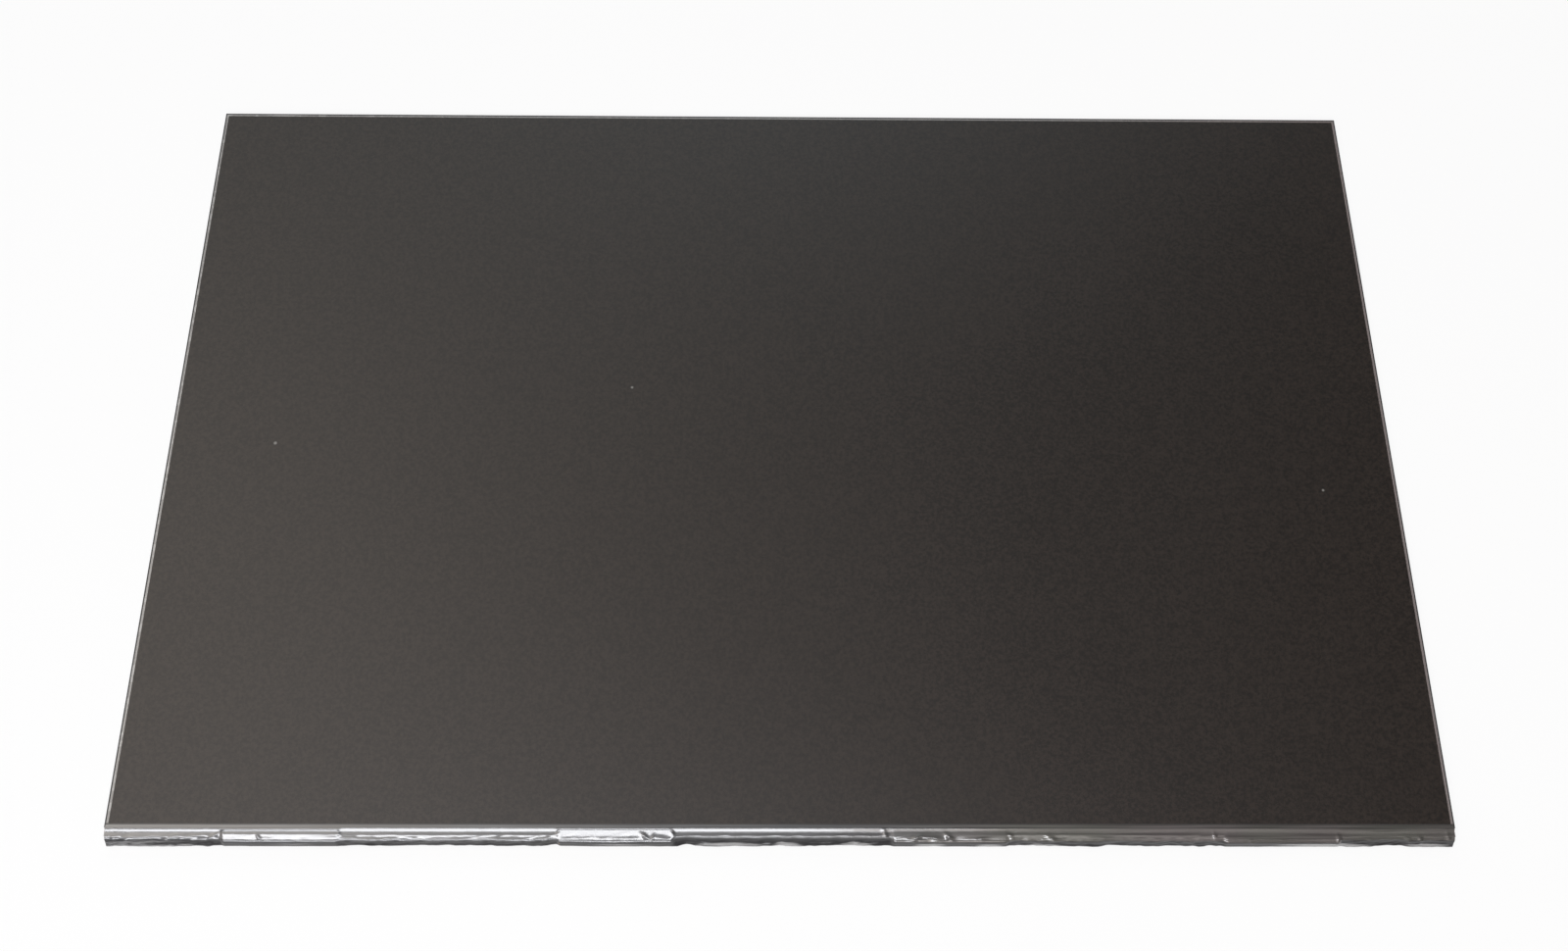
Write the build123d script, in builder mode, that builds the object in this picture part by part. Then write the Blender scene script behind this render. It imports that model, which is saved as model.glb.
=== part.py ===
from build123d import *

import os
from math import pi, sin

os.makedirs("parts", exist_ok=True)

# A bare laptop display module lying face up: liquid-crystal cell, edge-lit backlight in a
# pressed tray, driver board folded behind the near edge, and a film that wraps that edge.
# Millimetres. X runs along the width, Y away from the driver edge, Z up out of the face.
# The origin is below the middle of the module, level with the lowest part of the board.

# Outline of the module, over its tapes and its edge film
width = 306.6
depth = 197.4
near = -depth / 2
far = depth / 2

# Active picture area, 14 inches across the corners at sixteen to ten
picture_width = 301.6
picture_depth = 188.5
picture_border = 2.5

# Thicknesses, from the rear to the face
part_height = 0.95
board_thickness = 0.45
board_tape_thickness = 0.08
tray_thickness = 0.25
field_relief = 0.15
reflector_thickness = 0.08
guide_thickness = 0.50
diffuser_thickness = 0.09
lower_prism_thickness = 0.14
upper_prism_thickness = 0.16
frame_tape_thickness = 0.06
rear_polariser_thickness = 0.12
glass_thickness = 0.25
front_polariser_thickness = 0.13
edge_tape_thickness = 0.06
film_thickness = 0.06
driver_film_thickness = 0.04
led_flex_thickness = 0.08

# Levels that follow from the thicknesses
board_rear = part_height
board_front = board_rear + board_thickness
land_rear = board_front + board_tape_thickness
land_front = land_rear + tray_thickness
guide_rear = land_front + reflector_thickness
guide_front = guide_rear + guide_thickness
diffuser_front = guide_front + diffuser_thickness
lower_prism_front = diffuser_front + lower_prism_thickness
frame_top = lower_prism_front + upper_prism_thickness
cell_rear = frame_top + frame_tape_thickness
array_rear = cell_rear + rear_polariser_thickness
array_front = array_rear + glass_thickness
filter_front = array_front + glass_thickness
face = filter_front + front_polariser_thickness

# Driver films: four tabs bonded to the glass ledge, folded round the edge and bonded to the board
tab_count = 4
tab_pitch = 75.8
tab_width = 25.6
tab_bond = 0.8
tab_overhang = 0.35
tab_top = array_front + driver_film_thickness
tab_bottom = board_rear - driver_film_thickness
tab_centres = [(i - (tab_count - 1) / 2) * tab_pitch for i in range(tab_count)]
board_bond = 1.2

# The edge film lies a hair's breadth off the tabs and hangs past them to a lip below, which is
# outermost. The glass ledge ends short of the line where the tabs' fold begins.
film_gap = 0.005
lip_reach = 0.4
fold_radius = (tab_top - tab_bottom) / 2
fold_line = near + film_thickness + film_gap + lip_reach + fold_radius
ledge_edge = fold_line + tab_overhang

# Cell: the glass ends short of the tapes, the front polariser leaves a bare rim of glass
glass_play = 0.04
glass_half = width / 2 - edge_tape_thickness - glass_play
glass_far = far - edge_tape_thickness - glass_play
filter_edge = near + 3.5
polariser_inset = 0.18
polariser_edge = filter_edge + polariser_inset
rim = 0.8
rear_rim = 0.6
rear_polariser_edge = ledge_edge + rear_rim

# Tray and frame
tray_half = width / 2 - edge_tape_thickness
tray_setback = 0.1
tray_near = ledge_edge + tray_setback
tray_far = far - edge_tape_thickness
tray_bend = 0.4
fit = 0.05
frame_wall = 1.5
frame_near_wall = 0.65
frame_chamfer = 0.18
frame_half = tray_half - tray_thickness - fit
frame_near = tray_near + tray_thickness + fit
frame_far = tray_far - tray_thickness - fit

# Light bar
led_count = 44
led_pitch = 6.75
led_width = 3.0
led_depth = 0.6
led_near = frame_near + frame_near_wall + fit
led_far = led_near + led_depth
led_window_width = 2.4
led_window_height = 0.3
led_window_depth = 0.12
tail_x = width / 4
tail_width = 9.0
tail_lead = 0.05
tail_fold = ledge_edge - tail_lead

# Optical sheets and their locating ears
sheet_play = 0.15
sheet_half = frame_half - frame_wall - sheet_play
sheet_far = frame_far - frame_wall - sheet_play
sheet_near = led_far + sheet_play
ear_length = 6.0
ear_reach = 0.8
ear_spacing = 110.0

# Driver board: a long strip, wider in its middle
board_near = near + 7.5
board_half = 131.0
board_depth = 7.5
board_middle_half = 74.0
board_middle_depth = 10.5
board_corner = 0.8
board_tape_inset = 0.8

# Signal socket, with its mouth towards the near edge
socket_x = -width / 4
socket_near = near + 8.7
socket_width = 20.4
socket_depth = 3.6
shell_width = 22.6
shell_thickness = 0.12
contact_count = 30
contact_pitch = 0.5
contact_width = 0.2
contact_thickness = 0.1
contact_tail = 0.8
slot_height = 0.46
slot_width = 17.0
slot_depth = 2.7
socket_base = 0.2
contact_setback = 0.4
groove_play = 0.02
shell_leg = 2.4


def write(piece, node):
    """Labels a finished piece and writes it to a file of its own."""
    piece.part.label = node
    export_step(piece.part, f"parts/{node}.step")


def sheet(half_width, low, high, rear, thickness):
    """A plain rectangular sheet between two values of Y."""
    with BuildPart() as piece:
        with BuildSketch(Plane.XY.offset(rear)):
            with Locations((0, (low + high) / 2)):
                Rectangle(2 * half_width, high - low)
        extrude(amount=thickness)
    return piece


def eared_sheet(rear, thickness):
    """A sheet of the light stack, held by two ears on each side."""
    middle = (sheet_near + sheet_far) / 2
    with BuildPart() as piece:
        with BuildSketch(Plane.XY.offset(rear)):
            with Locations((0, middle)):
                Rectangle(2 * sheet_half, sheet_far - sheet_near)
                with GridLocations(2 * sheet_half, ear_spacing, 2, 2):
                    Rectangle(2 * ear_reach, ear_length)
        extrude(amount=thickness)
    return piece


def folded_strip(middle, strip_width, ends, fold, top, bottom, thickness):
    """A thin strip that runs out at one level, folds round a half turn and runs back below."""
    top_end, bottom_end = ends
    radius = (top - bottom) / 2
    level = (top + bottom) / 2
    with BuildPart() as strip:
        with BuildSketch(Plane.YZ.offset(middle - strip_width / 2)):
            with BuildLine():
                Line((top_end, top), (fold, top))
                ThreePointArc((fold, top), (fold - radius, level), (fold, bottom))
                Line((fold, bottom), (bottom_end, bottom))
                Line((bottom_end, bottom), (bottom_end, bottom + thickness))
                Line((bottom_end, bottom + thickness), (fold, bottom + thickness))
                ThreePointArc(
                    (fold, bottom + thickness),
                    (fold - radius + thickness, level),
                    (fold, top - thickness),
                )
                Line((fold, top - thickness), (top_end, top - thickness))
                Line((top_end, top - thickness), (top_end, top))
            make_face()
        extrude(amount=strip_width)
    return strip


# Cell: polarisers and the two glasses, the array glass reaching past the filter glass as a ledge
front_polariser = sheet(
    width / 2 - rim - edge_tape_thickness,
    polariser_edge,
    far - rim - edge_tape_thickness,
    filter_front,
    front_polariser_thickness,
)
write(front_polariser, "front_polariser")

colour_filter_glass = sheet(glass_half, filter_edge, glass_far, array_front, glass_thickness)
write(colour_filter_glass, "colour_filter_glass")

array_glass = sheet(glass_half, ledge_edge, glass_far, array_rear, glass_thickness)
write(array_glass, "array_glass")

rear_polariser = sheet(
    glass_half - rear_rim,
    rear_polariser_edge,
    glass_far - rear_rim,
    cell_rear,
    rear_polariser_thickness,
)
write(rear_polariser, "rear_polariser")

# Light stack
reflector_sheet = eared_sheet(land_front, reflector_thickness)
write(reflector_sheet, "reflector_sheet")

light_guide_plate = eared_sheet(guide_rear, guide_thickness)
write(light_guide_plate, "light_guide_plate")

diffuser_sheet = eared_sheet(guide_front, diffuser_thickness)
write(diffuser_sheet, "diffuser_sheet")

lower_prism_sheet = eared_sheet(diffuser_front, lower_prism_thickness)
write(lower_prism_sheet, "lower_prism_sheet")

upper_prism_sheet = eared_sheet(lower_prism_front, upper_prism_thickness)
write(upper_prism_sheet, "upper_prism_sheet")

# Shading tape between the frame and the cell, open over the picture area
frame_tape_inset = 0.2
picture_clearance = 0.3
picture_far = far - picture_border
tray_middle = (tray_near + tray_far) / 2
with BuildPart() as frame_tape:
    with BuildSketch(Plane.XY.offset(frame_top)):
        with Locations((0, tray_middle)):
            Rectangle(2 * (tray_half - frame_tape_inset), tray_far - tray_near - 2 * frame_tape_inset)
        with Locations((0, picture_far - picture_depth / 2)):
            Rectangle(
                picture_width + 2 * picture_clearance,
                picture_depth + 2 * picture_clearance,
                mode=Mode.SUBTRACT,
            )
    extrude(amount=frame_tape_thickness)
write(frame_tape, "frame_tape")

# Moulded frame: walls round the light stack, notched for the ears and for the light bar's tail
frame_middle = (frame_near + frame_far) / 2
sheet_middle = (sheet_near + sheet_far) / 2
frame_inner_near = frame_near + frame_near_wall
frame_inner_far = sheet_far + sheet_play
tail_play = 0.5
tail_notch = tail_width + 2 * tail_play
with BuildPart() as mould_frame:
    with BuildSketch(Plane.XY.offset(land_front)):
        with Locations((0, frame_middle)):
            Rectangle(2 * frame_half, frame_far - frame_near)
        with Locations((0, (frame_inner_near + frame_inner_far) / 2)):
            Rectangle(
                2 * (sheet_half + sheet_play),
                frame_inner_far - frame_inner_near,
                mode=Mode.SUBTRACT,
            )
        with Locations((0, sheet_middle)):
            with GridLocations(2 * sheet_half, ear_spacing, 2, 2):
                Rectangle(
                    2 * (ear_reach + sheet_play),
                    ear_length + 2 * sheet_play,
                    mode=Mode.SUBTRACT,
                )
    extrude(amount=frame_top - land_front)
    # Clears the inner bend of the tray
    outer_foot = mould_frame.faces().sort_by(Axis.Z)[0].outer_wire().edges()
    chamfer(outer_foot, length=frame_chamfer)
    with BuildSketch(Plane.XY.offset(land_front)):
        with Locations((tail_x, frame_near + frame_near_wall / 2)):
            Rectangle(tail_notch, 2 * frame_near_wall)
    extrude(amount=2 * led_flex_thickness, mode=Mode.SUBTRACT)
write(mould_frame, "mould_frame")

# Tray: pressed sheet with a low wall all round and a field that stands out behind its border
field_half = 145.0
field_near = near + 24.0
field_far = far - 7.0
field_corner = 5.0
field_slope = 45
with BuildPart() as rear_tray:
    with BuildSketch(Plane.XY.offset(land_rear)):
        with Locations((0, tray_middle)):
            Rectangle(2 * tray_half, tray_far - tray_near)
    extrude(amount=frame_top - land_rear)
    fillet(rear_tray.faces().sort_by(Axis.Z)[0].edges(), radius=tray_bend)
    offset(amount=-tray_thickness, openings=rear_tray.faces().sort_by(Axis.Z)[-1])
    for level, mode in ((land_rear, Mode.ADD), (land_front, Mode.SUBTRACT)):
        with BuildSketch(Plane.XY.offset(level)):
            with Locations((0, (field_near + field_far) / 2)):
                RectangleRounded(2 * field_half, field_far - field_near, field_corner)
        extrude(amount=-field_relief, taper=field_slope, mode=mode)
    with BuildSketch(Plane.XY.offset(land_front)):
        with Locations((tail_x, tray_near)):
            Rectangle(tail_notch, 2 * tray_bend)
    extrude(amount=frame_top - land_front, mode=Mode.SUBTRACT)
write(rear_tray, "rear_tray")

# Light bar: a flexible strip with a tail that folds out to the board, and a row of emitters
led_flex_tail = folded_strip(
    tail_x,
    tail_width,
    (led_near, board_near + board_bond),
    tail_fold,
    land_front + led_flex_thickness,
    board_rear - led_flex_thickness,
    led_flex_thickness,
)
with BuildPart() as led_flex:
    with BuildSketch(Plane.XY.offset(land_front)):
        with Locations((0, (led_near + led_far) / 2)):
            Rectangle(led_count * led_pitch, led_depth)
    extrude(amount=led_flex_thickness)
    add(led_flex_tail.part)
write(led_flex, "led_flex")

led_rear = land_front + led_flex_thickness
with BuildPart() as leds:
    with BuildSketch(Plane.XY.offset(led_rear)):
        with Locations((0, (led_near + led_far) / 2)):
            with GridLocations(led_pitch, 0, led_count, 1):
                Rectangle(led_width, led_depth)
    extrude(amount=guide_thickness)
    with BuildSketch(Plane.XZ.offset(-led_far)):
        with Locations((0, led_rear + guide_thickness / 2)):
            with GridLocations(led_pitch, 0, led_count, 1):
                Rectangle(led_window_width, led_window_height)
    extrude(amount=led_window_depth, mode=Mode.SUBTRACT)
write(leds, "leds")

# Driver films and the long narrow chips that they carry inside their fold
chip_length = 18.0
chip_breadth = 1.1
chip_height = 0.28
chip_y = near + 4.6
for number, centre in enumerate(tab_centres, start=1):
    driver_film = folded_strip(
        centre,
        tab_width,
        (ledge_edge + tab_bond, board_near + board_bond),
        fold_line,
        tab_top,
        tab_bottom,
        driver_film_thickness,
    )
    write(driver_film, f"driver_film_{number}")
    with BuildPart() as driver_chip:
        with BuildSketch(Plane.XY.offset(board_rear)):
            with Locations((centre, chip_y)):
                Rectangle(chip_length, chip_breadth)
        extrude(amount=chip_height)
    write(driver_chip, f"driver_chip_{number}")

# Driver board and the tape that holds it to the tray
with BuildPart() as driver_board:
    with BuildSketch(Plane.XY.offset(board_rear)) as board_outline:
        with Locations((0, board_near + board_depth / 2)):
            Rectangle(2 * board_half, board_depth)
        with Locations((0, board_near + board_middle_depth / 2)):
            Rectangle(2 * board_middle_half, board_middle_depth)
        fillet(board_outline.vertices(), radius=board_corner)
    extrude(amount=board_thickness)
write(driver_board, "driver_board")

with BuildPart() as board_tape:
    with BuildSketch(Plane.XY.offset(board_front)):
        with Locations((0, board_near + board_depth / 2)):
            Rectangle(2 * (board_half - board_tape_inset), board_depth - 2 * board_tape_inset)
    extrude(amount=board_tape_thickness)
write(board_tape, "board_tape")


# Parts soldered to the rear of the board
chip_bevel = 0.1


def chip(x, y, length, breadth, height):
    """A moulded package, bevelled round its face."""
    with BuildPart() as package:
        with BuildSketch(Plane.XY.offset(board_rear)):
            with Locations((x, y)):
                Rectangle(length, breadth)
        extrude(amount=-height)
        chamfer(package.faces().sort_by(Axis.Z)[0].edges(), length=chip_bevel)
    return package


middle_row = board_near + 6.0
outer_row = board_near + 4.7
controller_size = (8.0, 8.0, 0.75)
power_chip_x = 16.0
power_chip_size = (5.0, 5.0, 0.75)
memory_chip_x = -15.0
memory_chip_size = (4.0, 3.0, 0.55)
led_driver_x = 59.0
led_driver_size = (4.0, 4.0, 0.75)
timing_controller = chip(0, middle_row, *controller_size)
write(timing_controller, "timing_controller")

power_chip = chip(power_chip_x, middle_row, *power_chip_size)
write(power_chip, "power_chip")

memory_chip = chip(memory_chip_x, middle_row, *memory_chip_size)
write(memory_chip, "memory_chip")

led_driver_chip = chip(led_driver_x, middle_row, *led_driver_size)
write(led_driver_chip, "led_driver_chip")

inductor_places = (23.5, 66.0)
inductor_size = 4.2
inductor_corner = 0.9
with BuildPart() as power_inductors:
    with BuildSketch(Plane.XY.offset(board_rear)):
        with Locations(*[(x, middle_row) for x in inductor_places]):
            RectangleRounded(inductor_size, inductor_size, inductor_corner)
    extrude(amount=-part_height)
write(power_inductors, "power_inductors")

diode_x = 71.0
diode_size = (1.6, 2.6, 0.8)
boost_diode = chip(diode_x, middle_row, *diode_size)
write(boost_diode, "boost_diode")

# Capacitors stand in rows beside the chips they serve, resistors in rows near the socket and tail
# Each group is given by its middle, its columns and its rows.
capacitor_size = (0.8, 1.6)
capacitor_height = 0.8
capacitor_pitch = (1.6, 2.6)
capacitor_groups = ((-58, 2, 2), (-36, 6, 1), (-7.5, 2, 3), (8, 2, 3), (29, 3, 2), (44, 4, 1), (53, 2, 2))
with BuildPart() as capacitors:
    with BuildSketch(Plane.XY.offset(board_rear)):
        for x, columns, rows in capacitor_groups:
            with Locations((x, middle_row)):
                with GridLocations(*capacitor_pitch, columns, rows):
                    Rectangle(*capacitor_size)
    extrude(amount=-capacitor_height)
write(capacitors, "capacitors")

resistor_size = (0.5, 1.0)
resistor_height = 0.35
resistor_pitch = (1.2, 1.8)
resistor_groups = ((-116, 6, 1), (-95, 6, 1), (-62, 2, 2), (-21, 3, 2), (84, 4, 1), (112, 6, 1))
with BuildPart() as resistors:
    with BuildSketch(Plane.XY.offset(board_rear)):
        for x, columns, rows in resistor_groups:
            with Locations((x, outer_row)):
                with GridLocations(*resistor_pitch, columns, rows):
                    Rectangle(*resistor_size)
    extrude(amount=-resistor_height)
write(resistors, "resistors")

# Signal socket: moulded body, row of contacts and a stamped shell that closes the slot
socket_far = socket_near + socket_depth
contact_top = board_rear - socket_base
contact_low = contact_top - contact_thickness
with BuildPart() as socket_contacts:
    for i in range(contact_count):
        start = socket_x + (i - (contact_count - 1) / 2) * contact_pitch - contact_width / 2
        with BuildSketch(Plane.YZ.offset(start)):
            with BuildLine():
                Polyline(
                    (socket_near + contact_setback, contact_top),
                    (socket_far, contact_top),
                    (socket_far, board_rear),
                    (socket_far + contact_tail, board_rear),
                    (socket_far + contact_tail, board_rear - contact_thickness),
                    (socket_far + contact_thickness, board_rear - contact_thickness),
                    (socket_far + contact_thickness, contact_low),
                    (socket_near + contact_setback, contact_low),
                    close=True,
                )
            make_face()
        extrude(amount=contact_width)
write(socket_contacts, "socket_contacts")

with BuildPart() as socket_body:
    with BuildSketch(Plane.XY.offset(board_rear)):
        with Locations((socket_x, socket_near + socket_depth / 2)):
            Rectangle(socket_width, socket_depth)
    extrude(amount=shell_thickness - board_rear)
    # Slot for the plug, open towards the near edge
    with BuildSketch(Plane.XY.offset(contact_top)):
        with Locations((socket_x, socket_near + slot_depth / 2)):
            Rectangle(slot_width, slot_depth)
    extrude(amount=-slot_height, mode=Mode.SUBTRACT)
    # A groove through the rear wall for each contact
    with BuildSketch(Plane.XY.offset(contact_top)):
        with Locations((socket_x, (socket_near + slot_depth + socket_far) / 2)):
            with GridLocations(contact_pitch, 0, contact_count, 1):
                Rectangle(contact_width + 2 * groove_play, socket_far - socket_near - slot_depth)
    extrude(amount=-contact_thickness - groove_play, mode=Mode.SUBTRACT)
write(socket_body, "socket_body")

shell_ear = (shell_width - socket_width) / 2
latch_size = (1.6, 0.8)
latch_spacing = 14.0
with BuildPart() as socket_shell:
    with BuildSketch(Plane.XY):
        with Locations((socket_x, socket_near + socket_depth / 2)):
            Rectangle(shell_width, socket_depth)
            with GridLocations(latch_spacing, 0, 2, 1):
                Rectangle(*latch_size, mode=Mode.SUBTRACT)
    extrude(amount=shell_thickness)
    # Side legs down to the board
    with BuildSketch(Plane.XY.offset(shell_thickness)):
        with Locations((socket_x, socket_near + socket_depth / 2)):
            with GridLocations(shell_width - shell_ear, 0, 2, 1):
                Rectangle(shell_ear, shell_leg)
    extrude(amount=board_rear - shell_thickness)
write(socket_shell, "socket_shell")

# Edge tapes: thin channels over the rim of the glass, the side of the tray and its rear border
tape_lip = 0.22
tape_flap = 3.0
tape_top = filter_front + edge_tape_thickness
tape_rear = land_rear - edge_tape_thickness


def tape_channel(plane, outer, inward):
    """Cross-section of an edge tape: lip, wall and rear flap, with its wall at one place."""
    wall = outer + inward * edge_tape_thickness
    lip = wall + inward * tape_lip
    flap = wall + inward * tape_flap
    with BuildSketch(plane) as channel:
        with BuildLine():
            Polyline(
                (lip, filter_front),
                (lip, tape_top),
                (outer, tape_top),
                (outer, tape_rear),
                (flap, tape_rear),
                (flap, land_rear),
                (wall, land_rear),
                (wall, filter_front),
                close=True,
            )
        make_face()
    return channel.sketch


# The tapes are mitred where they meet at the far corners
tape_setback = 0.2
tape_near = polariser_edge + tape_setback
mitre = 2 * tape_flap
for node, side in (("edge_tape_left", -1), ("edge_tape_right", 1)):
    with BuildPart() as side_tape:
        channel = tape_channel(Plane.XZ.offset(-far), side * width / 2, -side)
        extrude(channel, amount=far - tape_near)
        with BuildSketch(Plane.XY):
            with BuildLine():
                Polyline(
                    (side * width / 2, far),
                    (side * (width / 2 - mitre), far),
                    (side * (width / 2 - mitre), far - mitre),
                    close=True,
                )
            make_face()
        extrude(amount=face, mode=Mode.SUBTRACT)
    write(side_tape, node)

with BuildPart() as far_tape:
    extrude(tape_channel(Plane.YZ.offset(-width / 2), far, -1), amount=width)
    with BuildSketch(Plane.XY):
        for side in (-1, 1):
            with BuildLine():
                Polyline(
                    (side * width / 2, far),
                    (side * width / 2, far - mitre),
                    (side * (width / 2 - mitre), far - mitre),
                    close=True,
                )
            make_face()
    extrude(amount=face, mode=Mode.SUBTRACT)
write(far_tape, "edge_tape_far")

# Edge film: laps the polariser, steps down to the glass ledge, rolls over the edge, falls to a
# rounded lip and ends below the board. It is drawn taut over each tab, where it stands off the
# ledge more or less, and sways between the tabs, where its lip is tucked in more or less.
film_inset = 0.3
film_half = width / 2 - film_inset
film_lap = near + 4.85
lap_overhang = 0.08
lap_end = polariser_edge - lap_overhang
slack_step = near + 2.95
tab_steps = (near + 2.85, near + 2.15, near + 2.75, near + 2.95)
tab_tucks = (0.05, 0.2, 0.1, 0.0)
film_end = near + 8.2
tab_margin = 0.3
crease = 1.2
slack_pitch = 8.0
tuck_spread = 0.3
droop_least = 0.05
droop_spread = 0.04
step_sway = 0.12
roll_sway = 0.15
wave = 2.3
roll_level = (tab_top + tab_bottom) / 2
lip_level = 1.15
diagonal = sin(pi / 4)


def film_section(x, tab):
    """The film's cross-section at one place along the edge, over a tab or slack if tab is None."""
    sway = (1 + sin(wave * x)) / 2
    if tab is None:
        ledge = array_front + film_gap
        step_end = slack_step - step_sway * sway
        bend = ledge_edge - roll_sway * sway
        tuck = tuck_spread * sway
        under = tab_bottom - film_gap - droop_least - droop_spread * sway
    else:
        ledge = tab_top + film_gap
        step_end = tab_steps[tab]
        bend = fold_line
        tuck = tab_tucks[tab]
        under = tab_bottom - film_gap
    roll = ledge - roll_level
    hem = lip_level - under
    fall = bend - roll
    lip = near + film_thickness + tuck
    drop = face - ledge
    mitre_shift = film_thickness * drop / (lap_end - step_end + drop) / 2

    def on_roll(radius):
        return bend - radius * diagonal, roll_level + radius * diagonal

    def on_hem(radius):
        return lip + hem - radius * diagonal, lip_level - radius * diagonal

    with BuildSketch(Plane.YZ.offset(x)) as section:
        with BuildLine():
            Polyline((film_lap, face), (lap_end, face), (step_end, ledge), (bend, ledge))
            ThreePointArc((bend, ledge), on_roll(roll), (fall, roll_level))
            Line((fall, roll_level), (lip, lip_level))
            ThreePointArc((lip, lip_level), on_hem(hem), (lip + hem, under))
            Polyline(
                (lip + hem, under),
                (film_end, under),
                (film_end, under - film_thickness),
                (lip + hem, under - film_thickness),
            )
            ThreePointArc(
                (lip + hem, under - film_thickness),
                on_hem(hem + film_thickness),
                (lip - film_thickness, lip_level),
            )
            Line((lip - film_thickness, lip_level), (fall - film_thickness, roll_level))
            ThreePointArc(
                (fall - film_thickness, roll_level),
                on_roll(roll + film_thickness),
                (bend, ledge + film_thickness),
            )
            Polyline(
                (bend, ledge + film_thickness),
                (step_end - mitre_shift, ledge + film_thickness),
                (lap_end - mitre_shift, face + film_thickness),
                (film_lap, face + film_thickness),
                (film_lap, face),
            )
        make_face()
    return section.sketch


taut_reach = tab_width / 2 + tab_margin
slack_start = taut_reach + crease
slack_edges = [-film_half]
sections = []
for tab, centre in enumerate(tab_centres):
    slack_edges += [centre - slack_start, centre + slack_start]
    sections += [(centre - taut_reach, tab), (centre + taut_reach, tab)]
slack_edges.append(film_half)
for low, high in zip(slack_edges[0::2], slack_edges[1::2]):
    spans = round((high - low) / slack_pitch)
    sections += [(low + (high - low) * i / spans, None) for i in range(spans + 1)]
sections.sort(key=lambda section: section[0])

plug_room = 13.0
plug_notch = 5.5
with BuildPart() as edge_film:
    loft([film_section(x, tab) for x, tab in sections], ruled=True)
    # Cut back below the socket, where the plug comes in
    with BuildSketch(Plane.XY):
        with Locations((socket_x, film_end)):
            Rectangle(2 * plug_room, 2 * plug_notch)
    extrude(amount=board_rear, mode=Mode.SUBTRACT)
write(edge_film, "edge_film")
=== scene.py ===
import math

import bmesh
import bpy
from mathutils import Matrix, Vector, noise


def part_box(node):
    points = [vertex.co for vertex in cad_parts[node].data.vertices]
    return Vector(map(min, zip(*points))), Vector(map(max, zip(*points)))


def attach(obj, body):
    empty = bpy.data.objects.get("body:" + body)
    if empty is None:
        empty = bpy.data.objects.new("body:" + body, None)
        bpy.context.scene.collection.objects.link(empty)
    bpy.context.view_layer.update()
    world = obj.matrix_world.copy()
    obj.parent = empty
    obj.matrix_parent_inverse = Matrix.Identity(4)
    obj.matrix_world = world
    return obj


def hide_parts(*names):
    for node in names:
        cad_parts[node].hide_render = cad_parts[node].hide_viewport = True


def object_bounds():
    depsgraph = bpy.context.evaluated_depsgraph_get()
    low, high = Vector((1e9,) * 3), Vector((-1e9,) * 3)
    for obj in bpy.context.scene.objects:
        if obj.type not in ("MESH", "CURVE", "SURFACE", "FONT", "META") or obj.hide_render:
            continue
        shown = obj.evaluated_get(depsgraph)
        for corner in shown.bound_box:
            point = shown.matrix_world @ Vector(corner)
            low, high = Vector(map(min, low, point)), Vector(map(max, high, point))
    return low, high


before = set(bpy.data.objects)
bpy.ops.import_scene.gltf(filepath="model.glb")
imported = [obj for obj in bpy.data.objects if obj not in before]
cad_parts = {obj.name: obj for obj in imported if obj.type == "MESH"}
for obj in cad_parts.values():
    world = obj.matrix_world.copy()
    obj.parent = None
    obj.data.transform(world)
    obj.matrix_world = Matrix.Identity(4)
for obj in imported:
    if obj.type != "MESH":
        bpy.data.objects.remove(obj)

cad_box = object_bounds()

MM = 0.001

# Heights and edges of the panel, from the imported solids
panel_low, panel_high = cad_box
NEAR_EDGE = panel_low[1]
FACE_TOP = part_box("front_polariser")[1][2]


class Socket:
    """One output in a node tree; arithmetic on it adds Math nodes."""

    def __init__(self, tree, output):
        self.tree = tree
        self.output = output

    def maths(self, operation, first, second):
        return self.tree.node("ShaderNodeMath", {"operation": operation}, {0: first, 1: second})

    def __add__(self, other):
        return self.maths("ADD", self, other)

    def __radd__(self, other):
        return self.maths("ADD", other, self)

    def __sub__(self, other):
        return self.maths("SUBTRACT", self, other)

    def __rsub__(self, other):
        return self.maths("SUBTRACT", other, self)

    def __mul__(self, other):
        return self.maths("MULTIPLY", self, other)

    def __rmul__(self, other):
        return self.maths("MULTIPLY", other, self)

    def __pow__(self, other):
        return self.maths("POWER", self, other)

    def __rpow__(self, other):
        return self.maths("POWER", other, self)


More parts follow.
